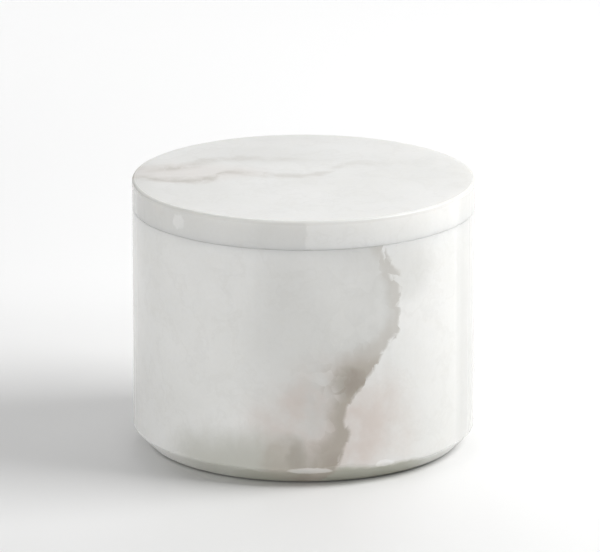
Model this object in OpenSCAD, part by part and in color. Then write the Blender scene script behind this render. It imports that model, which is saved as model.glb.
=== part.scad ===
// Cream jar in turned alabaster with a lift-off lid, a mouth collar and a refill cup.
// Millimetres, +Z up, origin on the surface the jar stands on, at the jar's axis.
// Nearly every piece is a turned shape: a half section in the XZ plane spun about Z.

/* [Overall] */
// Outside diameter of the stone jar and of its lid
jar_d = 82; // [66:1:110]
// Height of the closed jar above the surface it stands on
total_h = 65; // [50:1:100]

/* [Stone jar] */
// Thickness of the stone wall around the bore
stone_wall = 7; // [5:0.5:10]
// Thickness of the stone floor under the bore
stone_floor = 7.5; // [5:0.5:12]
// Size of the chamfer round the foot
foot_chamfer = 4; // [2:0.5:6]
// Radius at the bottom corner of the bore
bore_corner = 2; // [1:0.5:4]
// Width of the eased edges where jar and lid meet
seam_ease = 0.3; // [0.2:0.1:0.6]

/* [Stone lid] */
// Thickness of the stone lid, as seen at its rim
lid_h = 7; // [5:0.5:12]
// Radius of the lid's top edge
lid_edge = 1; // [0.5:0.1:2]
// Depth of the recess that locates the plug
lid_recess = 1.3; // [1:0.1:2.5]

/* [Base pad] */
// Height of the stone above the standing surface, which the pad stands proud
pad_proud = 0.3; // [0.2:0.1:1]
// Depth of the recess for the pad
pad_recess = 1.5; // [1:0.1:3]
// Width of the ring of stone left round the pad's recess
foot_land = 5.5; // [3:0.5:10]

/* [Collar] */
// Thickness of the collar's wall
collar_wall = 1.5; // [1.2:0.1:2.5]
// Width of the ledge that the refill cup hangs on
ledge_w = 1.8; // [1.4:0.1:3]
// Thickness of the collar below the ledge
ledge_t = 4; // [3:0.5:6]
// Depth of the collar's top below the stone rim
collar_drop = 0.4; // [0.2:0.1:1]
// Width of each nail notch
notch_w = 12; // [8:1:16]
// Depth of each nail notch below the ledge
notch_depth = 2; // [1:0.5:2.5]

/* [Refill cup] */
// Thickness of the cup's wall
cup_wall = 1.4; // [1:0.1:2]
// Thickness of the cup's floor
cup_floor = 1.6; // [1.2:0.1:3]
// Thickness of the flange that hangs on the ledge
flange_t = 1.5; // [1.2:0.1:2.5]
// Height of the cup's rim above its flange
rim_rise = 1; // [0.8:0.1:2]
// Inside radius at the bottom corner of the cup
cup_corner = 2.5; // [1:0.5:6]

/* [Sealing disc] */
// Thickness of the disc's flange, skirt and plate
disc_t = 0.9; // [0.7:0.1:1.5]
// Depth of the dish, from the flange's top to the plate's underside
dish_depth = 5.5; // [4:0.5:8]
// Width that the disc's flange overhangs the cup's rim
disc_overhang = 0.4; // [0.2:0.1:0.6]
// Length of the finger fin
fin_l = 16; // [10:1:22]
// Thickness of the finger fin
fin_t = 1.6; // [1:0.1:3]
// Gap between the fin's top and the lid's wad
fin_gap = 0.3; // [0.2:0.1:1]

/* [Lid plug] */
// Depth of the seal plane, where the wad meets the disc, below the stone rim
seat_depth = 6.4; // [6:0.1:10]
// Thickness of the plug's outer wall
plug_wall = 2.4; // [2:0.1:3]
// Thickness of the plug's closed plate
plug_plate = 1.4; // [1:0.1:2.5]
// Thickness of the plug's ribs and of its inner ring
rib_t = 1.2; // [0.8:0.1:2]
// Radius of the plug's inner ring
hub_r = 11; // [8:0.5:15]
// Number of ribs
rib_count = 6; // [3:1:12]

/* [Lid wad] */
// Thickness of the foam wad
wad_t = 1.6; // [1.2:0.1:2.5]
// Height of the wad below the plug's rim
wad_proud = 0.4; // [0.2:0.1:0.8]
// Width of the plug's rim outside the wad
wad_margin = 0.9; // [0.6:0.1:1.5]

/* [Grip ring] */
// Height of the ring's heel, which sits in the groove
heel_h = 1.6; // [1.2:0.1:2]
// Depth of the groove in the plug's wall
groove_depth = 1.1; // [0.8:0.1:1.5]
// Thickness of the ring's lip
lip_t = 0.8; // [0.5:0.1:1.1]
// Gap between the plug and the collar, which the lip closes
plug_gap = 1.2; // [0.8:0.1:1.8]

/* [Fits and adhesives] */
// Thickness of the adhesive between collar and stone
collar_bond_t = 0.3; // [0.2:0.1:0.5]
// Thickness of the adhesive film over the base pad
pad_bond_t = 0.2; // [0.1:0.1:0.5]
// Thickness of the bonding disc between lid and plug
lid_bond_t = 0.5; // [0.3:0.1:0.8]
// Radial clearance of the base pad in its recess
pad_clear = 0.3; // [0.2:0.1:0.5]
// Radial clearance of the cup's flange and of its body in the collar
cup_clear = 0.3; // [0.2:0.1:0.5]
// Height of the cup above the stone floor
cup_gap = 1; // [0.5:0.5:3]
// Radial clearance of the sealing disc's skirt in the cup
disc_clear = 0.3; // [0.2:0.1:0.5]
// Radial clearance of the plug in the lid's recess
plug_clear = 0.3; // [0.2:0.1:0.5]
// Clearance between the grip ring and its groove, and between its lip and the collar
grip_clear = 0.15; // [0.1:0.05:0.3]

/* [Hidden] */
$fn = 128;

// Heights, from the ground up
stone_z = pad_proud;
recess_z = stone_z + pad_recess;
pad_t = recess_z - pad_bond_t;
bore_z = stone_z + stone_floor;
jar_top = total_h - lid_h;
lid_recess_z = jar_top + lid_recess;
plug_top = lid_recess_z - lid_bond_t;

// Radii, from the outside in
jar_r = jar_d / 2;
foot_r = jar_r - foot_chamfer;
pad_recess_r = foot_r - foot_land;
bore_r = jar_r - stone_wall;
collar_r = bore_r - collar_bond_t;
collar_bore_r = collar_r - collar_wall;
ledge_r = collar_bore_r - ledge_w;
flange_r = collar_bore_r - cup_clear;
cup_r = ledge_r - cup_clear;
cup_bore_r = cup_r - cup_wall;
skirt_r = cup_bore_r - disc_clear;
disc_r = cup_r + disc_overhang;
plug_r = collar_bore_r - plug_gap;
plug_bore_r = plug_r - plug_wall;
wad_r = plug_r - wad_margin;
groove_r = plug_r - groove_depth;

// Heights that hang from the seal plane, where the lid's wad meets the sealing disc
seal_z = jar_top - seat_depth;
rim_z = seal_z - disc_t;
flange_z = rim_z - rim_rise - flange_t;
cup_z = bore_z + cup_gap;
plate_z = seal_z - dish_depth;
collar_top = jar_top - collar_drop;
collar_z = flange_z - ledge_t;
plug_z = seal_z + wad_proud;
plug_plate_z = seal_z + wad_t;
groove_h = heel_h + 2 * grip_clear;
groove_z = (plug_plate_z + jar_top - groove_h) / 2;

// Small round-offs on the mouldings
lead_in = 0.5;
rim_round = cup_wall / 2;
fin_round = 1.5;
over = 1;

STONE = [0.92, 0.91, 0.89];
MOULDING = [0.96, 0.96, 0.94];
SILICONE = [0.86, 0.86, 0.84];
FOAM = [0.98, 0.98, 0.97];
ADHESIVE = [0.88, 0.86, 0.78];

// Half section from the axis out to radius r, with its lower outer corner rounded
module slug(r, z0, z1, corner) {
    translate([0, z0]) square([r - corner, z1 - z0]);
    translate([0, z0 + corner]) square([r, z1 - z0 - corner]);
    translate([r - corner, z0 + corner]) circle(corner);
}

// Half section of a ring with square corners
module band(r0, r1, z0, z1) {
    translate([r0, z0]) square([r1 - r0, z1 - z0]);
}

// Turned stone body: chamfered foot, flat rim with eased edges, one blind bore, pad recess below
module stone_jar() {
    color(STONE) rotate_extrude() difference() {
        polygon([[0, stone_z],
                 [foot_r, stone_z],
                 [jar_r, stone_z + foot_chamfer],
                 [jar_r, jar_top - seam_ease],
                 [jar_r - seam_ease, jar_top],
                 [0, jar_top]]);
        slug(bore_r, bore_z, jar_top + over, bore_corner);
        polygon([[bore_r - over, jar_top + over],
                 [bore_r + lead_in + over, jar_top + over],
                 [bore_r - over, jar_top - lead_in - over]]);
        band(-over, pad_recess_r, stone_z - over, recess_z);
    }
}

// Non-slip disc that the jar stands on
module base_pad() {
    color(SILICONE) cylinder(r = pad_recess_r - pad_clear, h = pad_t);
}

// Adhesive film between the pad and the roof of its recess
module pad_bond() {
    color(ADHESIVE) translate([0, 0, pad_t]) cylinder(r = pad_recess_r - pad_clear, h = pad_bond_t);
}

// Mouth lining: a true bore for the lid's grip ring above a ledge for the cup, with two nail notches
module collar() {
    color(MOULDING) difference() {
        rotate_extrude() polygon([[ledge_r, collar_z],
                                  [collar_r, collar_z],
                                  [collar_r, collar_top],
                                  [collar_bore_r + lead_in, collar_top],
                                  [collar_bore_r, collar_top - lead_in],
                                  [collar_bore_r, flange_z],
                                  [ledge_r, flange_z]]);
        for (side = [-1, 1])
            translate([side * collar_r, 0, flange_z - notch_depth])
                cylinder(d = notch_w, h = collar_top - flange_z + notch_depth + over);
    }
}

// Adhesive between the collar and the stone
module collar_bond() {
    color(ADHESIVE) rotate_extrude() band(collar_r, bore_r, collar_z, collar_top);
}

// Cup that holds the cream: hangs by its flange, with a rounded rim above it
module refill_cup() {
    color(MOULDING) rotate_extrude() difference() {
        union() {
            slug(cup_r, cup_z, rim_z - rim_round, cup_corner + cup_wall);
            band(cup_bore_r, flange_r, flange_z, flange_z + flange_t);
            translate([cup_r - rim_round, rim_z - rim_round]) circle(rim_round);
        }
        slug(cup_bore_r, cup_z + cup_floor, rim_z - rim_round, cup_corner);
        band(-over, cup_bore_r, rim_z - rim_round - over, rim_z + over);
    }
}

// Dished disc over the cream: its flange lies on the cup's rim, its fin stands in the dish
module sealing_disc() {
    fin_h = seal_z - fin_gap - plate_z - disc_t;
    color(MOULDING) {
        rotate_extrude() {
            band(skirt_r - disc_t, disc_r, rim_z, seal_z);
            band(skirt_r - disc_t, skirt_r, plate_z, seal_z);
            band(0, skirt_r, plate_z, plate_z + disc_t);
        }
        translate([0, fin_t / 2, plate_z + disc_t]) rotate([90, 0, 0]) linear_extrude(fin_t) {
            translate([-fin_l / 2, -disc_t / 2]) square([fin_l, fin_h + disc_t / 2 - fin_round]);
            translate([fin_round - fin_l / 2, 0]) square([fin_l - 2 * fin_round, fin_h]);
            for (side = [-1, 1])
                translate([side * (fin_l / 2 - fin_round), fin_h - fin_round]) circle(fin_round);
        }
    }
}

// Turned stone lid: rounded top edge, eased lower edge, recess for the plug
module stone_lid() {
    color(STONE) rotate_extrude() difference() {
        union() {
            polygon([[0, jar_top],
                     [jar_r - seam_ease, jar_top],
                     [jar_r, jar_top + seam_ease],
                     [jar_r, total_h - lid_edge],
                     [0, total_h - lid_edge]]);
            band(0, jar_r - lid_edge, total_h - lid_edge - over, total_h);
            translate([jar_r - lid_edge, total_h - lid_edge]) circle(lid_edge);
        }
        band(-over, plug_r + plug_clear, jar_top - over, lid_recess_z);
    }
}

// Ribbed plug under the lid: closed plate below, ribs up to the bonding disc, groove for the grip ring
module lid_plug() {
    rib_end = (plug_bore_r + groove_r) / 2;
    color(MOULDING) {
        rotate_extrude() difference() {
            union() {
                band(plug_bore_r, plug_r, plug_plate_z, plug_top);
                band(wad_r, plug_r, plug_z, plug_plate_z + over);
                band(0, plug_r, plug_plate_z, plug_plate_z + plug_plate);
                band(hub_r - rib_t, hub_r, plug_plate_z, plug_top);
            }
            band(groove_r, plug_r + over, groove_z, groove_z + groove_h);
        }
        for (i = [0 : rib_count - 1])
            rotate([0, 0, i * 360 / rib_count])
                translate([hub_r - rib_t / 2, -rib_t / 2, plug_plate_z])
                    cube([rib_end - hub_r + rib_t / 2, rib_t, plug_top - plug_plate_z]);
    }
}

// Bonding disc between the plug and the lid's recess
module lid_bond() {
    color(ADHESIVE) translate([0, 0, plug_top]) cylinder(r = plug_r, h = lid_bond_t);
}

// Silicone ring that centres and holds the lid: a square heel in the plug's groove and a
// round-nosed lip that reaches out to the collar
module grip_ring() {
    lip_r = collar_bore_r - grip_clear;
    heel_z = groove_z + grip_clear;
    lip_z = heel_z + (heel_h - lip_t) / 2;
    color(SILICONE) rotate_extrude() {
        band(groove_r + grip_clear, plug_r, heel_z, heel_z + heel_h);
        band(plug_r - over / 2, lip_r - lip_t / 2, lip_z, lip_z + lip_t);
        translate([lip_r - lip_t / 2, lip_z + lip_t / 2]) circle(lip_t / 2);
    }
}

// Soft foam liner let into the plug's underside
module lid_wad() {
    color(FOAM) translate([0, 0, seal_z]) cylinder(r = wad_r, h = wad_t);
}

stone_jar();
base_pad();
pad_bond();
collar();
collar_bond();
refill_cup();
sealing_disc();
stone_lid();
lid_plug();
lid_bond();
grip_ring();
lid_wad();
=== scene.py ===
import math

import bmesh
import bpy
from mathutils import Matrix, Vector, noise


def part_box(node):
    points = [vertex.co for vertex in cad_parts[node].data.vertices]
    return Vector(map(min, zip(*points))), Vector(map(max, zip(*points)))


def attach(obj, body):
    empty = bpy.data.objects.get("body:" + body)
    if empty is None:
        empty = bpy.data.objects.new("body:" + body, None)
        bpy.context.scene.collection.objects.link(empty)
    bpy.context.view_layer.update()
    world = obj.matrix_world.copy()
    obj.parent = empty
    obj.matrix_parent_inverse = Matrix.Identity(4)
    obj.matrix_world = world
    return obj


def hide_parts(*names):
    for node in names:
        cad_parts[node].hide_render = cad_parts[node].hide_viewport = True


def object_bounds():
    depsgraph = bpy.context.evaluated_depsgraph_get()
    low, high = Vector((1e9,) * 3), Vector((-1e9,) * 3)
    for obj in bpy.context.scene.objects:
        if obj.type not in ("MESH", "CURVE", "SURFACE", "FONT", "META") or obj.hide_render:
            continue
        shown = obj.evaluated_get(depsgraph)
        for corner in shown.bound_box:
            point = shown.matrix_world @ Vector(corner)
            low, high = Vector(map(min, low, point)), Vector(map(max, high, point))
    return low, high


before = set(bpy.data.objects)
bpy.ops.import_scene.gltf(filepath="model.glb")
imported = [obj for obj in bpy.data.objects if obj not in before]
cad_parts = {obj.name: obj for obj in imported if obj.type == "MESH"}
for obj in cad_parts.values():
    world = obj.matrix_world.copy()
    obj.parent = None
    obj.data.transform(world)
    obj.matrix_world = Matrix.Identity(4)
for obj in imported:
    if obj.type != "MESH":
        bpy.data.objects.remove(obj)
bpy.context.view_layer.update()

scene = bpy.context.scene
MM = 0.001


# Camera. A long lens 1.6 metres away that looks down at the jar's front by about sixteen degrees.
# It aims a little above the jar's middle and to its left, so that the jar stands low in the frame.
low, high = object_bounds()
middle = (low + high) / 2
CAMERA_DISTANCE = 1.6
CAMERA_ELEVATION = math.radians(15.6)
AIM_ABOVE = 7.6 * MM
AIM_LEFT = 0.9 * MM

back = Vector((0, -math.cos(CAMERA_ELEVATION), math.sin(CAMERA_ELEVATION)))
upward = Vector((0, math.sin(CAMERA_ELEVATION), math.cos(CAMERA_ELEVATION)))
camera_data = bpy.data.cameras.new("camera")
camera_data.lens = 400
camera_data.sensor_width = 36
camera_data.clip_start = 0.05
camera_data.clip_end = 20
camera = bpy.data.objects.new("camera", camera_data)
aim_shift = upward * AIM_ABOVE - Vector((AIM_LEFT, 0, 0))
camera.location = middle + back * CAMERA_DISTANCE + aim_shift
camera.rotation_euler = (math.pi / 2 - CAMERA_ELEVATION, 0, 0)
scene.collection.objects.link(camera)
scene.camera = camera


# Studio. A pale matt table under an even white sky. A softbox at the right throws the jar's shadow
# to the left, a broad fill at the left softens it, and two lights behind lift the table to white, helped by
# painted light on the paper.
class Wire:
    """A shader socket of one material. Arithmetic on it adds Math nodes, node() adds any other."""

    def __init__(self, tree, socket=None):
        self.tree = tree
        self.socket = socket

    def node(self, kind, settings, inputs, output=0):
        made = self.tree.nodes.new("ShaderNode" + kind)
        for name, value in settings.items():
            if name == "stops":
                points = made.mapping.curves[0].points
                points[0].location, points[1].location = value[0], value[-1]
                for stop in value[1:-1]:
                    points.new(*stop)
                made.mapping.update()
            else:
                setattr(made, name, value)
        for name, value in inputs.items():
            if isinstance(value, Wire):
                self.tree.links.new(value.socket, made.inputs[name])
            else:
                made.inputs[name].default_value = value
        return Wire(self.tree, made.outputs[output] if made.outputs else None)

    def math(self, operation, *values):
        return self.node("Math", {"operation": operation}, dict(enumerate(values)))

    def __add__(self, other):
        return self.math("ADD", self, other)

    def __radd__(self, other):
        return self.math("ADD", other, self)

    def __sub__(self, other):
        return self.math("SUBTRACT", self, other)

    def __rsub__(self, other):
        return self.math("SUBTRACT", other, self)

    def __mul__(self, other):
        return self.math("MULTIPLY", self, other)

    def __rmul__(self, other):
        return self.math("MULTIPLY", other, self)

    def __truediv__(self, other):
        return self.math("DIVIDE", self, other)


def start(name):
    """A new material with an empty tree, and a wire that carries the piece's place in millimetres."""
    made = bpy.data.materials.new(name)
    made.use_nodes = True
    made.node_tree.nodes.clear()
    place = Wire(made.node_tree).node("TexCoord", {}, {}, "Object")
    return made, place.node("VectorMath", {"operation": "SCALE"}, {0: place, "Scale": 1 / MM})


def axes(place):
    """The three coordinates of a place."""
    split = place.node("SeparateXYZ", {}, {0: place})
    sockets = split.socket.node.outputs
    return [Wire(place.tree, socket) for socket in sockets]


def cloud(place, size, detail=3.0, roughness=0.5):
    """Soft noise from 0 to 1 whose lumps are about size millimetres across."""
    inputs = {"Vector": place, "Scale": 1 / size, "Detail": detail, "Roughness": roughness}
    return place.node("TexNoise", {}, inputs)


def fade(value, low, high):
    """A smooth rise from 0 at low to 1 at high, which falls where low is the larger."""
    inputs = {"Value": value, 1: low, 2: high}
    return value.node("MapRange", {"interpolation_type": "SMOOTHSTEP"}, inputs)


def mix(share, first, second):
    """One colour going over to another."""
    inputs = {0: share, 6: first, 7: second}
    return share.node("Mix", {"data_type": "RGBA"}, inputs, 2)


def surface(made, colour, roughness, relief=None, depth=0.05, **constants):
    """The finished surface: colour, roughness and relief come from wires, the rest is constant."""
    inputs = {"Base Color": colour, "Roughness": roughness}
    if relief is not None:
        bump = {"Height": relief, "Distance": depth * MM, "Strength": 1.0}
        inputs["Normal"] = relief.node("Bump", {}, bump)
    for name, value in constants.items():
        inputs[name.replace("_", " ").title().replace("Ior", "IOR")] = value
    shader = colour.node("BsdfPrincipled", {}, inputs)
    shader.node("OutputMaterial", {}, {"Surface": shader})
    return made


def lamp(name, place, aim, size, watts):
    """A rectangular softbox that faces a point."""
    light = bpy.data.lights.new(name, "AREA")
    light.shape = "RECTANGLE"
    light.size, light.size_y = size
    light.energy = watts
    made = bpy.data.objects.new(name, light)
    made.location = place
    made.rotation_euler = (Vector(aim) - Vector(place)).to_track_quat("-Z", "Y").to_euler()
    scene.collection.objects.link(made)
    return made


TABLE_SIZE = 12.0
TABLE_DROP = 0.02 * MM
table_mesh = bmesh.new()
bmesh.ops.create_grid(table_mesh, x_segments=8, y_segments=8, size=TABLE_SIZE / 2)
bmesh.ops.translate(table_mesh, verts=table_mesh.verts, vec=(0, 0, -TABLE_DROP))
table_data = bpy.data.meshes.new("table")
table_mesh.to_mesh(table_data)
table_mesh.free()
table = bpy.data.objects.new("table", table_data)
scene.collection.objects.link(table)
table_paper, place = start("table_paper")
fibre = cloud(place, 1.5, 4.0)
# Painted light: the paper goes from pale grey at the front to near white behind, standing in for the glow of
# the lights behind.
paper_painted_lighter_behind = mix(fade(axes(place)[1], 55, 150), (0.84, 0.84, 0.835, 1), (0.97, 0.97, 0.97, 1))
paper_painted_lighter_behind = mix(fibre * 0.06, paper_painted_lighter_behind, (0.7, 0.7, 0.69, 1))
table_data.materials.append(surface(table_paper, paper_painted_lighter_behind, 0.38 + fibre * 0.1))

world = bpy.data.worlds.new("studio_white")
world.use_nodes = True
sky = world.node_tree.nodes["Background"]
sky.inputs["Color"].default_value = (1.0, 1.0, 1.0, 1)
sky.inputs["Strength"].default_value = 0.33
scene.world = world
scene.view_settings.view_transform = "Standard"

jar_middle = (0, 0, middle.z)
lamp("softbox_right", (0.40, -0.03, 0.42), jar_middle, (0.34, 0.30), 3.05)
lamp("fill_left", (-0.9, -0.8, 0.16), jar_middle, (0.9, 0.3), 5.2)
lamp("sweep_light", (0, 0.7, 0.5), (0, 0.5, 0), (1.6, 0.3), 3.1)
lamp("low_back_light", (-0.1, 0.45, 0.22), (-0.1, 0.33, 0), (0.8, 0.15), 0.15)


# Stone jar. One block of translucent white alabaster, turned on a lathe, bored from the top,
# chamfered at the foot, eased at the rim by hand and polished with wax. A grey-brown vein climbs
# its front, and the stone to the left of the vein is greyer than the stone to the right.
ROUND_STEPS = 480
FOOT_CHAMFER = 4 * MM
STONE_WALL = 7 * MM
STONE_FLOOR = 7.5 * MM
PAD_RECESS = 1.5 * MM
PAD_MARGIN = 5.5 * MM
STONE_ARRIS = 0.5 * MM
SEAM_EASE = 0.11 * MM
BORE_EASE = 0.5 * MM
BORE_CORNER = 2 * MM
RECESS_EASE = 0.2 * MM
SAME_SPOT = 0.001 * MM
ON_RIM = 0.002 * MM
NICK_REACH = 0.6 * MM
NICK_DEPTH = 0.5 * MM
NICK_SIZE = 3 * MM
NICK_RARITY = 0.25

MILKY_WHITE = (0.79, 0.79, 0.775, 1)
CLEAR_WHITE = (0.745, 0.745, 0.725, 1)
THREAD_GREY = (0.6, 0.59, 0.56, 1)
SHADE_GREY = (0.55, 0.55, 0.53, 1)
PINK_HAZE = (0.64, 0.565, 0.52, 1)
OLIVE_AND_SHADE_GREY = (0.42, 0.42, 0.36, 1)
VEIN_BROWN = (0.43, 0.39, 0.34, 1)
VEIN_HEART = (0.27, 0.235, 0.19, 1)
GRAIN_TAN = (0.5, 0.49, 0.45, 1)
FLECK_WHITE = (0.93, 0.93, 0.925, 1)


def on_rim(edge, radius, height):
    """Whether an edge lies on the circle of a radius at a height."""
    off_circle = [abs(math.hypot(vert.co.x, vert.co.y) - radius) for vert in edge.verts]
    off_level = [abs(vert.co.z - height) for vert in edge.verts]
    return max(off_circle + off_level) < ON_RIM


def turned(outline, rounds, steps=ROUND_STEPS):
    """A mesh spun about the vertical axis from a half section of (radius, height) corners. Where
    the section starts and ends on the axis it is left open there. Each of rounds is the radius
    and height of a corner, the size of its rounding and the number of its facets."""
    spun = bmesh.new()
    corners = [spun.verts.new((radius, 0, height)) for radius, height in outline]
    for first, second in zip(corners, corners[1:]):
        spun.edges.new((first, second))
    if outline[0][0] > 0:
        spun.edges.new((corners[-1], corners[0]))
    parts = spun.verts[:] + spun.edges[:]
    bmesh.ops.spin(spun, geom=parts, cent=(0, 0, 0), axis=(0, 0, 1), dvec=(0, 0, 0),
                   angle=2 * math.pi, steps=steps, use_merge=True)
    bmesh.ops.remove_doubles(spun, verts=spun.verts, dist=SAME_SPOT)
    for radius, height, size, segments in rounds:
        rim = [edge for edge in spun.edges if on_rim(edge, radius, height)]
        bmesh.ops.bevel(spun, geom=rim, offset=size, offset_type="OFFSET", segments=segments,
                        profile=0.5, affect="EDGES", material=-1)
    bmesh.ops.recalc_face_normals(spun, faces=spun.faces)
    return spun


def piece(name, spun, material, sharp=40):
    """Makes the object of a finished mesh, smooth but for edges sharper than an angle."""
    data = bpy.data.meshes.new(name)
    spun.to_mesh(data)
    spun.free()
    data.shade_smooth()
    data.set_sharp_from_angle(angle=math.radians(sharp))
    data.materials.append(material)
    made = bpy.data.objects.new(name, data)
    scene.collection.objects.link(made)
    weighted = made.modifiers.new("even shading", "WEIGHTED_NORMAL")
    weighted.keep_sharp = True
    return made


def chipped(spun, radius, height, seed):
    """Wears an edge by hand: shallow nicks, random but the same each time, pushed in at one rim."""
    for vert in spun.verts:
        across = math.hypot(vert.co.x, vert.co.y)
        near = math.hypot(across - radius, vert.co.z - height)
        if near < NICK_REACH:
            lump = noise.noise(Vector((vert.co.x, vert.co.y, seed * MM)) / NICK_SIZE)
            nick = max(0.0, lump - NICK_RARITY) * NICK_DEPTH * (1 - near / NICK_REACH)
            vert.co.x *= 1 - nick / across
            vert.co.y *= 1 - nick / across


def knocked(spun, centre, wide, tall, depth):
    """Knocks a shallow shell-shaped flake off an edge round a point."""
    for vert in spun.verts:
        across = Vector(((vert.co - centre).xy.length / wide, (vert.co.z - centre.z) / tall)).length
        if across < 1:
            outward = vert.co.xy.normalized() * depth * (1 - across * across)
            vert.co.x -= outward.x
            vert.co.y -= outward.y


def course(along, stops, least, most):
    """A smooth curve through given (position, value) stops, read at a place along the piece.
    Its values stay between least and most."""
    first, length = stops[0][0], stops[-1][0] - stops[0][0]
    share = (along - first) / length
    points = [((spot - first) / length, (value - least) / (most - least)) for spot, value in stops]
    curve = share.node("FloatCurve", {"stops": points}, {"Value": share})
    return curve * (most - least) + least


def patch(across, up, wide, tall):
    """A soft round patch: 1 in its middle, 0 at its edge."""
    spread = (across / wide) * (across / wide) + (up / tall) * (up / tall)
    return fade(spread, 1.0, 0.0)


def drift(place, size, reach):
    """The place pushed about by soft noise, so that what is drawn there comes out smoky."""
    push = place.node("TexNoise", {}, {"Vector": place, "Scale": 1 / size, "Detail": 5.0}, 1)
    centred = push.node("VectorMath", {"operation": "SUBTRACT"}, {0: push, 1: (0.5, 0.5, 0.5)})
    return centred.node("VectorMath", {"operation": "MULTIPLY_ADD"}, {0: centred, 1: (reach,) * 3, 2: place})


def crystals(place, size):
    """Steps from 0 to 1, one level for each crystal of about size millimetres."""
    cells = place.node("TexVoronoi", {}, {"Vector": drift(place, size, size), "Scale": 1 / size}, 1)
    return cells.node("SeparateColor", {}, {0: cells})


def alabaster(name, veins):
    """Polished alabaster. veins gives, from the place, how far the stone goes over to grey (its own grey,
    with painted dark reflection and painted shade at the sides), to pink haze, to olive (an olive tint with
    painted shade at the jar's foot and the lid's top arris), to vein and to the vein's dark heart, where its
    polish is worn and where it has white flecks (at the jar's foot, fresh chips with a painted highlight).
    The milky body, the fine grain and the wax polish are the same throughout."""
    made, place = start(name)
    grey, haze, olive_and_painted_shade, vein, dark, worn, white_fleck = veins(place)
    milk = fade(cloud(place, 24, 4.0, 0.55), 0.3, 0.7)
    grain = cloud(place, 0.9, 3.0)
    routes = cloud(drift(place, 12, 14), 16, 6.0, 0.6)
    threads = fade(routes, 0.47, 0.5) * fade(routes, 0.54, 0.5)
    colour = mix(milk, MILKY_WHITE, CLEAR_WHITE)
    colour = mix(threads * 0.12, colour, THREAD_GREY)
    colour = mix(grey, colour, SHADE_GREY)
    colour = mix(haze, colour, PINK_HAZE)
    colour = mix(olive_and_painted_shade, colour, OLIVE_AND_SHADE_GREY)
    colour = mix(vein, colour, VEIN_BROWN)
    colour = mix(dark, colour, VEIN_HEART)
    colour = mix(fade(grain, 0.35, 0.75) * 0.05, colour, GRAIN_TAN)
    colour = mix(white_fleck, colour, FLECK_WHITE)
    smear = cloud(place, 14, 5.0, 0.6)
    roughness = 0.08 + smear * 0.08 + vein * 0.1 + worn * 0.3 + white_fleck * 0.2
    ripple = cloud(place, 9, 2.0)
    pits = fade(cloud(place, 0.35, 2.0), 0.32, 0.2) * (0.15 + 0.85 * vein)
    relief = ripple * 0.6 - pits * 0.4
    return surface(made, colour, roughness, relief, 0.02, subsurface_weight=0.5,
                   subsurface_radius=(1.0, 0.95, 0.88), subsurface_scale=0.004, ior=1.53)


def jar_veins(place):
    """The jar's vein is a sheet that leans through the block. Its right edge is stepped and crisp,
    its left side dies away, it thickens to a brown knot below half height and forks at the foot.
    across and height follow the sheet's lean, and are plain x and z on the jar's very front."""
    smoky = drift(drift(place, 9, 4.5), 2.2, 1.0)
    plain_x, plain_y, plain_z = axes(place)
    x, y, z = axes(smoky)
    step = crystals(place, 2.6)
    across = x + (y + 41) * 0.3
    height = z + (y + 41) * 0.15
    edge_stops = [(0, 5), (12, 10), (20, 10), (30, 18), (46, 25), (60, 17)]
    width_stops = [(0, 13), (8, 13), (16, 6), (22, 6), (29, 14), (38, 6), (60, 5)]
    strength_stops = [(0, 0.95), (28, 0.95), (34, 0.45), (60, 0.35)]
    edge = course(height, edge_stops, -41, 41)
    width = course(height, width_stops, 0, 20)
    strength = course(height, strength_stops, 0, 1)
    block = crystals(place, 7)
    from_edge = across - edge + (step - 0.5) * 1.2 + (block - 0.5) * 3
    left = fade(from_edge, 0.7, -0.7)
    vein = left * fade(from_edge / width, -1.0, -0.25) * strength
    gap = patch(across - 1.6, height - 8, 2.4, 4.5)
    stain = patch(across + 3.8, height - 6.8, 7, 7) * 0.6
    vein = vein.math("MAXIMUM", vein * (1 - gap * 0.6), stain * fade(cloud(smoky, 6, 4.0), 0.25, 0.6))
    knot = patch(across - 10.8, height - 26.2, 6, 4.5)
    toes = patch(across + 0.3, height - 6.5, 4.5, 7)
    heel = patch(across - 7.3, height - 5, 3.6, 5)
    dark = knot.math("MAXIMUM", knot, toes + heel * 0.5) * vein * (0.3 + 0.4 * cloud(smoky, 2.5))
    top_smoke = patch(across - 27, height - 52, 9, 9) * 0.3
    shade = left * fade(from_edge, -22, -1) * 0.66
    middle_cloud = patch(x + 3, z - 34, 14, 34) * 0.22
    # Painted dark reflection: a grey strip down the right edge of the jar.
    right_edge_painted_reflection = fade(plain_x, 35.8, 37.8) * 0.45
    grey = shade.math("MAXIMUM", shade, top_smoke) + middle_cloud + right_edge_painted_reflection
    haze = patch(across - 8, height - 15, 26, 20) * 0.85
    toe_haze = patch(across + 3.5, height - 6.5, 9, 9)
    haze = haze.math("MAXIMUM", haze, toe_haze) * fade(cloud(smoky, 10, 4.0), 0.2, 0.7)
    # Partly painted shade: an olive tint in the stone's lower left, deepened where the table beside it lies
    # in shadow.
    low_left_tint_and_shade = patch(x + 13, z - 2, 24, 14) * 0.72
    # Painted shade: the foot chamfer, which faces down at the table, is darkened.
    foot_painted_shade = fade(z, 5.2, 3.4) * fade(x, -36, -8) * fade(x, 36, 22)
    olive_and_painted_shade = low_left_tint_and_shade.math("MAXIMUM", low_left_tint_and_shade, foot_painted_shade)
    worn = fade(z, 6, 3)
    # Partly painted highlight: the two knocked flakes on the foot's arris are painted white, the white of
    # freshly broken stone together with a painted highlight.
    flake_glints = patch(plain_x - 1.5, plain_z - 4, 7, 1.1) + patch(plain_x - 19, plain_z - 4.6, 2.8, 1.2)
    ragged = flake_glints + (cloud(place, 1.5, 4.0) - 0.5) * 0.9
    white_fleck = fade(ragged, 0.15, 0.6) * fade(plain_y, -20, -30) * 0.4
    return grey, haze, olive_and_painted_shade, vein * 0.95, dark, worn, white_fleck


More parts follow.
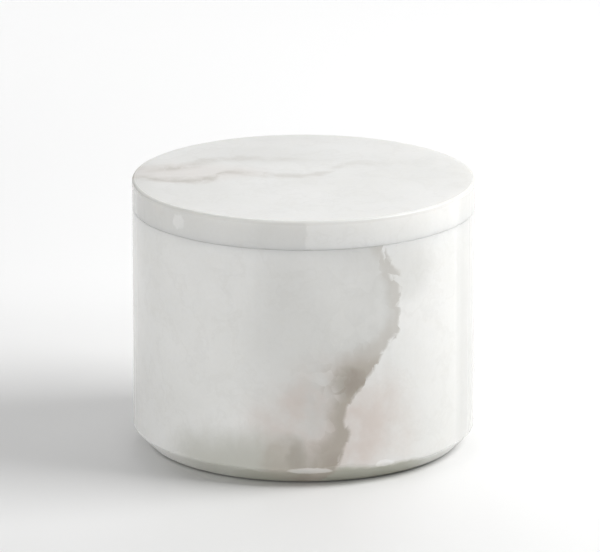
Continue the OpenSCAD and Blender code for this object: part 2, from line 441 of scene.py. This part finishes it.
jar_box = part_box("stone_jar")
jar_radius = jar_box[1].x
jar_top = jar_box[1].z
foot = jar_box[0].z
foot_radius = jar_radius - FOOT_CHAMFER
recess_radius = foot_radius - PAD_MARGIN
bore_radius = jar_radius - STONE_WALL
bore_floor = foot + STONE_FLOOR
jar_section = [(0, foot + PAD_RECESS), (recess_radius, foot + PAD_RECESS), (recess_radius, foot),
               (foot_radius, foot), (jar_radius, foot + FOOT_CHAMFER), (jar_radius, jar_top),
               (bore_radius, jar_top), (bore_radius, bore_floor), (0, bore_floor)]
jar_rounds = [(jar_radius, foot + FOOT_CHAMFER, STONE_ARRIS, 5), (foot_radius, foot, STONE_ARRIS, 4),
              (jar_radius, jar_top, SEAM_EASE, 4), (bore_radius, jar_top, BORE_EASE, 4),
              (bore_radius, bore_floor, BORE_CORNER, 6), (recess_radius, foot, RECESS_EASE, 2)]
jar_stone = turned(jar_section, jar_rounds)
chipped(jar_stone, jar_radius, jar_top, seed=3)
chipped(jar_stone, foot_radius, foot, seed=8)
middle_knock = Vector((1.5 * MM, -40.9 * MM, 4.2 * MM))
right_knock = Vector((19 * MM, -36.3 * MM, 4.2 * MM))
knocked(jar_stone, middle_knock, wide=6 * MM, tall=0.9 * MM, depth=0.25 * MM)
knocked(jar_stone, right_knock, wide=2.4 * MM, tall=0.9 * MM, depth=0.3 * MM)
jar_piece = piece("jar_stone", jar_stone, alabaster("jar_alabaster", jar_veins))
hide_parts("stone_jar")
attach(jar_piece, "jar")


# Stone lid. A disc cut from the same block and turned to the jar's diameter, flat and polished
# on top with a rounded edge, with a shallow recess underneath for the plug.
LID_EDGE = 0.7 * MM
LID_RECESS = 1.3 * MM
LID_RECESS_EASE = 0.3 * MM
SEAM_GAP = 0.02 * MM
PLUG_CLEAR = 0.3 * MM


def lid_veins(place):
    """The lid's veins: two smoky streaks that cross the left of its top with a pink haze between
    them, and a jagged border on its rim where grey stone meets white."""
    smoky = drift(drift(place, 11, 7), 3, 3.5)
    x, y = axes(smoky)[:2]
    flat_x, flat_y, flat_z = axes(place)
    step = crystals(place, 2.6)
    border = fade(x + (step - 0.5) * 2.0, 1.9, 0.7)
    shade = border * fade(flat_z, 64.8, 64.2) * 0.34
    # Painted dark reflection: a grey strip on the right of the lid's rim.
    right_edge_painted_reflection = fade(flat_x, 35.8, 37.8) * fade(flat_z, 64.8, 64.0) * 0.5
    # Painted shade: the left end of the lid, away from the softbox, is greyed.
    left_end_painted_shade = fade(flat_x, -33, -41) * 0.35
    grey = shade + right_edge_painted_reflection + left_end_painted_shade
    upper_stops = [(-41, 7), (-29, 9), (-20, 16), (0, 16), (41, 11)]
    upper = course(x, upper_stops, -41, 41)
    lower_stops = [(-41, -1), (-22, -2), (-18, 4), (-8, 1), (2, 2), (10, 11), (41, 14)]
    lower = course(x, lower_stops, -41, 41)
    off_upper = (y - upper).math("ABSOLUTE", y - upper)
    off_lower = (y - lower).math("ABSOLUTE", y - lower)
    broken = fade(cloud(smoky, 6, 5.0, 0.65), 0.36, 0.6)
    upper_streak = fade(off_upper, 4.6, 0.6) * fade(x, 12, -24) * 0.7
    lower_streak = fade(off_lower, 4.2, 0.6) * fade(x, 34, -6) * 0.8
    streak = upper_streak.math("MAXIMUM", upper_streak, lower_streak) * (0.2 + 0.8 * broken)
    core = fade(off_upper, 1.6, 0) * fade(x, -22, -34) + fade(off_lower, 1.6, 0) * fade(x, -8, -26)
    top_only = fade(flat_z, 62.5, 64)
    vein = (streak * 0.45 + core * broken * 0.14) * top_only
    haze = patch(x + 27, y - 4, 22, 11) * 0.3 * top_only
    back_cloud = patch(x + 8, y - 20, 26, 12) * 0.12
    radius = place.node("VectorMath", {"operation": "LENGTH"}, {0: place.node(
        "VectorMath", {"operation": "MULTIPLY"}, {0: place, 1: (1, 1, 0)})}, 1)
    worn = fade(radius, 39.9, 40.5) * fade(flat_z, 63.9, 64.5)
    fleck = patch(flat_x + 29.5, flat_z - 61.6, 2, 2.6) + (cloud(place, 1.2, 4.0) - 0.5) * 1.2
    white_fleck = fade(fleck, 0.4, 0.9) * fade(flat_y, 0, -20) * 0.3
    # The rubbed top arris is also darkened, grey here and olive in the return below: painted shade that
    # keeps it from showing a bright edge.
    grey = grey + back_cloud + worn * 0.3
    dark = core * broken * 0.08 * top_only
    return grey, haze, worn * 0.1, vein, dark, worn, white_fleck


lid_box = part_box("stone_lid")
plug_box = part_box("lid_plug")
lid_radius, lid_top, lid_bottom = lid_box[1].x, lid_box[1].z, lid_box[0].z + SEAM_GAP
lid_recess_radius = plug_box[1].x + PLUG_CLEAR
lid_section = [(0, lid_bottom + LID_RECESS), (lid_recess_radius, lid_bottom + LID_RECESS),
               (lid_recess_radius, lid_bottom), (lid_radius, lid_bottom), (lid_radius, lid_top),
               (0, lid_top)]
lid_rounds = [(lid_radius, lid_top, LID_EDGE, 8), (lid_radius, lid_bottom, SEAM_EASE, 4),
              (lid_recess_radius, lid_bottom, LID_RECESS_EASE, 3)]
lid_stone = turned(lid_section, lid_rounds)
chipped(lid_stone, lid_radius, lid_bottom, seed=5)
lid_piece = piece("lid_stone", lid_stone, alabaster("lid_alabaster", lid_veins))
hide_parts("stone_lid")
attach(lid_piece, "lid")


# Base pad. A soft silicone disc moulded with three grip grooves, pressed into the recess under
# the jar on a film of adhesive, and standing a hair proud of the stone so that the jar can't slip.
PAD_ROUND = 0.3 * MM
GROOVE_WIDTH = 1.2 * MM
GROOVE_DEPTH = 0.4 * MM
GROOVE_RADII = (9 * MM, 17 * MM, 25 * MM)


def mottled(name, light, dark, gloss, lumps, texture, depth, **constants):
    """A moulded or cast material: its colour drifts from light to dark, handling has left faint
    scuffs, and its fine relief is the texture of the mould or the cells of the foam."""
    made, place = start(name)
    flow = cloud(drift(place, lumps, lumps / 2), lumps, 3.0)
    scuffs = fade(cloud(drift(place, 3, 5), 4, 6.0, 0.7), 0.56, 0.66)
    fine = cloud(place, texture, 3.0)
    colour = mix(fade(flow, 0.3, 0.7), light + (1,), dark + (1,))
    colour = mix(scuffs * 0.12, colour, tuple(0.75 * part for part in dark) + (1,))
    colour = mix(fine * 0.06, colour, tuple(0.6 * part for part in dark) + (1,))
    roughness = gloss + flow * 0.06 + scuffs * 0.12
    return surface(made, colour, roughness, fine + scuffs * 0.15, depth,
                   subsurface_radius=(1.0, 0.97, 0.93), **constants)


pad_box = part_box("base_pad")
pad_radius, pad_bottom, pad_top = pad_box[1].x, pad_box[0].z, pad_box[1].z
pad_section = [(0, pad_bottom)]
for groove in GROOVE_RADII:
    pad_section += [(groove, pad_bottom), (groove, pad_bottom + GROOVE_DEPTH),
                    (groove + GROOVE_WIDTH, pad_bottom + GROOVE_DEPTH), (groove + GROOVE_WIDTH, pad_bottom)]
pad_section += [(pad_radius, pad_bottom), (pad_radius, pad_top), (0, pad_top)]
pad_rounds = [(pad_radius, pad_bottom, PAD_ROUND, 3), (pad_radius, pad_top, PAD_ROUND, 3)]
pad_silicone = mottled("pad_silicone", (0.50, 0.50, 0.485), (0.44, 0.44, 0.43), 0.5, 14, 0.5, 0.04,
                       subsurface_weight=0.2, subsurface_scale=0.001, ior=1.41)
pad_mesh = turned(pad_section, pad_rounds, steps=192)
pad_piece = piece("non_slip_pad", pad_mesh, pad_silicone)
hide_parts("base_pad")
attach(pad_piece, "jar")


# Adhesives. The pad's film, the bead behind the collar and the disc between plug and lid are
# milky pressure-sensitive and hot-melt adhesives; they keep their drawn shapes.
bond_glue = mottled("bond_glue", (0.72, 0.69, 0.60), (0.62, 0.59, 0.50), 0.3, 6, 1.2, 0.08,
                    subsurface_weight=0.4, subsurface_scale=0.001, ior=1.48)
for bond in ("pad_bond", "collar_bond", "lid_bond"):
    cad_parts[bond].material_slots[0].material = bond_glue


# Collar. An injection-moulded ABS ring bonded into the stone's mouth: a true bore for the lid, a
# ledge that the refill hangs on, and two nail notches to lift the refill by. Its mould was sparked.
collar_plastic = mottled("collar_abs", (0.80, 0.80, 0.785), (0.75, 0.75, 0.735), 0.34, 30, 0.25, 0.012,
                         subsurface_weight=0.1, subsurface_scale=0.001, ior=1.54)
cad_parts["collar"].material_slots[0].material = collar_plastic


# Refill cup. A thin-walled polypropylene cup, moulded in one shot, that holds the cream. It hangs
# by its flange on the collar's ledge, and its rounded rim carries the sealing disc.
CUP_FLOOR = 1.6 * MM
CUP_WALL = 1.4 * MM
CUP_CORNER = 2.5 * MM
FLANGE_THICK = 1.5 * MM
RIM_RISE = 1 * MM
CUP_FLANGE_OVER = 1.8 * MM
CUP_RIM_ROUND = 0.65 * MM
FLANGE_UNDER_ROUND = 0.25 * MM
FLANGE_TOP_ROUND = 0.4 * MM

cup_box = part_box("refill_cup")
flange_radius, cup_bottom, cup_rim = cup_box[1].x, cup_box[0].z, cup_box[1].z
cup_radius = flange_radius - CUP_FLANGE_OVER
cup_bore = cup_radius - CUP_WALL
flange_top = cup_rim - RIM_RISE
flange_bottom = flange_top - FLANGE_THICK
cup_inside = cup_bottom + CUP_FLOOR
cup_section = [(0, cup_bottom), (cup_radius, cup_bottom), (cup_radius, flange_bottom),
               (flange_radius, flange_bottom), (flange_radius, flange_top), (cup_radius, flange_top),
               (cup_radius, cup_rim), (cup_bore, cup_rim), (cup_bore, cup_inside), (0, cup_inside)]
cup_rounds = [(cup_radius, cup_bottom, CUP_CORNER + CUP_WALL, 10), (cup_bore, cup_inside, CUP_CORNER, 8),
              (cup_radius, cup_rim, CUP_RIM_ROUND, 5), (cup_bore, cup_rim, CUP_RIM_ROUND, 5),
              (flange_radius, flange_bottom, FLANGE_UNDER_ROUND, 3),
              (flange_radius, flange_top, FLANGE_TOP_ROUND, 3)]
cup_plastic = mottled("cup_polypropylene", (0.83, 0.83, 0.82), (0.78, 0.78, 0.77), 0.22, 22, 0.6, 0.01,
                      subsurface_weight=0.3, subsurface_scale=0.002, ior=1.49)
cup_mesh = turned(cup_section, cup_rounds, steps=256)
cup_piece = piece("refill_cup_moulding", cup_mesh, cup_plastic)
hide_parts("refill_cup")
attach(cup_piece, "refill")


# Sealing disc. A thin translucent polypropylene dish over the cream, with a fin to lift it by. Its
# flange lies on the cup's rim, and its skirt keeps it central.
DISC_THICK = 0.9 * MM
DISH_DEPTH = 5.5 * MM
SKIRT_IN = 2.1 * MM
SKIRT_ROUND = 0.7 * MM
DISC_EDGE = 0.25 * MM
DISH_LIP = 0.4 * MM
DISH_CORNER = 0.35 * MM
FIN_LENGTH = 16 * MM
FIN_THICK = 1.6 * MM
FIN_BELOW_FLANGE = 0.3 * MM
FIN_ROUND = 1.5 * MM
FIN_EDGE = 0.3 * MM
NEAR = 0.01 * MM

disc_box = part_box("sealing_disc")
disc_radius, disc_top = disc_box[1].x, disc_box[1].z
plate_bottom = disc_top - DISH_DEPTH
skirt_radius = disc_radius - SKIRT_IN
dish_radius = skirt_radius - DISC_THICK
disc_section = [(0, plate_bottom), (skirt_radius, plate_bottom), (skirt_radius, disc_top - DISC_THICK),
                (disc_radius, disc_top - DISC_THICK), (disc_radius, disc_top), (dish_radius, disc_top),
                (dish_radius, plate_bottom + DISC_THICK), (0, plate_bottom + DISC_THICK)]
disc_rounds = [(skirt_radius, plate_bottom, SKIRT_ROUND, 5),
               (disc_radius, disc_top - DISC_THICK, DISC_EDGE, 3),
               (disc_radius, disc_top, DISC_EDGE, 3), (dish_radius, disc_top, DISH_LIP, 4),
               (dish_radius, plate_bottom + DISC_THICK, DISH_CORNER, 4)]
disc_mesh = turned(disc_section, disc_rounds, steps=256)
fin_foot = plate_bottom + DISC_THICK / 2
fin_top = disc_top - FIN_BELOW_FLANGE
fin = bmesh.ops.create_cube(disc_mesh, size=1)["verts"]
bmesh.ops.scale(disc_mesh, verts=fin, vec=(FIN_LENGTH, FIN_THICK, fin_top - fin_foot))
bmesh.ops.translate(disc_mesh, verts=fin, vec=(0, 0, (fin_top + fin_foot) / 2))
fin_edges = {edge for vert in fin for edge in vert.link_edges}
ends = [edge for edge in fin_edges if all(vert.co.z > fin_foot + 1 * MM for vert in edge.verts)
        and abs(edge.verts[0].co.x - edge.verts[1].co.x) < FIN_EDGE]
bmesh.ops.bevel(disc_mesh, geom=ends, offset=FIN_ROUND, offset_type="OFFSET", segments=6,
                profile=0.5, affect="EDGES", material=-1)


def on_fin(vert):
    """Whether a corner lies on one of the fin's two broad faces, above its foot."""
    on_face = abs(abs(vert.co.y) - FIN_THICK / 2) < NEAR
    return on_face and abs(vert.co.x) <= FIN_LENGTH / 2 + NEAR and vert.co.z > fin_foot + NEAR


brim = [edge for edge in disc_mesh.edges if all(on_fin(vert) for vert in edge.verts)
        and edge.is_manifold and edge.calc_face_angle() > 1]
bmesh.ops.bevel(disc_mesh, geom=brim, offset=FIN_EDGE, offset_type="OFFSET", segments=3, profile=0.5,
                affect="EDGES", material=-1)
bmesh.ops.recalc_face_normals(disc_mesh, faces=disc_mesh.faces)
disc_plastic = mottled("disc_polypropylene", (0.80, 0.81, 0.81), (0.74, 0.75, 0.75), 0.26, 16, 0.5, 0.012,
                       subsurface_weight=0.5, subsurface_scale=0.002, ior=1.49)
disc_piece = piece("sealing_disc_moulding", disc_mesh, disc_plastic)
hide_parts("sealing_disc")
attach(disc_piece, "disc")


# Lid plug. A ribbed ABS moulding bonded up into the lid's recess, with a closed plate below and a
# groove for the grip ring. It keeps its drawn shape and takes a glossier finish than the collar.
plug_plastic = mottled("plug_abs", (0.80, 0.80, 0.785), (0.755, 0.755, 0.74), 0.28, 26, 0.25, 0.01,
                       subsurface_weight=0.1, subsurface_scale=0.001, ior=1.54)
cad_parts["lid_plug"].material_slots[0].material = plug_plastic


# Grip ring. A soft silicone ring stretched into the plug's groove; its round-nosed lip rubs the
# collar's bore, which centres the lid and holds it against a light pull.
RING_GROOVE = 0.95 * MM
LIP_THICK = 0.8 * MM
LIP_NOSE = 0.38 * MM
HEEL_ROUND = 0.15 * MM

ring_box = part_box("grip_ring")
lip_radius, heel_bottom, heel_top = ring_box[1].x, ring_box[0].z, ring_box[1].z
heel_radius = plug_box[1].x
groove_radius = heel_radius - RING_GROOVE
lip_bottom = (heel_bottom + heel_top - LIP_THICK) / 2
lip_top = lip_bottom + LIP_THICK
ring_section = [(groove_radius, heel_bottom), (heel_radius, heel_bottom), (heel_radius, lip_bottom),
                (lip_radius, lip_bottom), (lip_radius, lip_top), (heel_radius, lip_top),
                (heel_radius, heel_top), (groove_radius, heel_top)]
ring_rounds = [(lip_radius, lip_bottom, LIP_NOSE, 5), (lip_radius, lip_top, LIP_NOSE, 5),
               (heel_radius, heel_bottom, HEEL_ROUND, 2), (heel_radius, heel_top, HEEL_ROUND, 2)]
ring_silicone = mottled("ring_silicone", (0.70, 0.70, 0.68), (0.64, 0.64, 0.62), 0.42, 9, 0.4, 0.02,
                        subsurface_weight=0.5, subsurface_scale=0.001, ior=1.41)
ring_mesh = turned(ring_section, ring_rounds, steps=256)
ring_piece = piece("silicone_grip_ring", ring_mesh, ring_silicone)
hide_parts("grip_ring")
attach(ring_piece, "grip")


# Lid wad. A die-cut disc of closed-cell polyethylene foam pressed inside the plug's rim, which
# bears on the sealing disc when the lid is down. Its cut edges are slightly rounded.
WAD_ROUND = 0.3 * MM
WAD_TOP_ROUND = 0.15 * MM

wad_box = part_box("lid_wad")
wad_radius, wad_bottom, wad_top = wad_box[1].x, wad_box[0].z, wad_box[1].z
wad_section = [(0, wad_bottom), (wad_radius, wad_bottom), (wad_radius, wad_top), (0, wad_top)]
wad_rounds = [(wad_radius, wad_bottom, WAD_ROUND, 3), (wad_radius, wad_top, WAD_TOP_ROUND, 2)]
wad_foam = mottled("wad_foam", (0.84, 0.84, 0.83), (0.77, 0.77, 0.76), 0.6, 12, 0.7, 0.12,
                   subsurface_weight=0.3, subsurface_scale=0.001, ior=1.4)
wad_mesh = turned(wad_section, wad_rounds, steps=192)
wad_piece = piece("foam_wad", wad_mesh, wad_foam)
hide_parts("lid_wad")
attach(wad_piece, "lid")
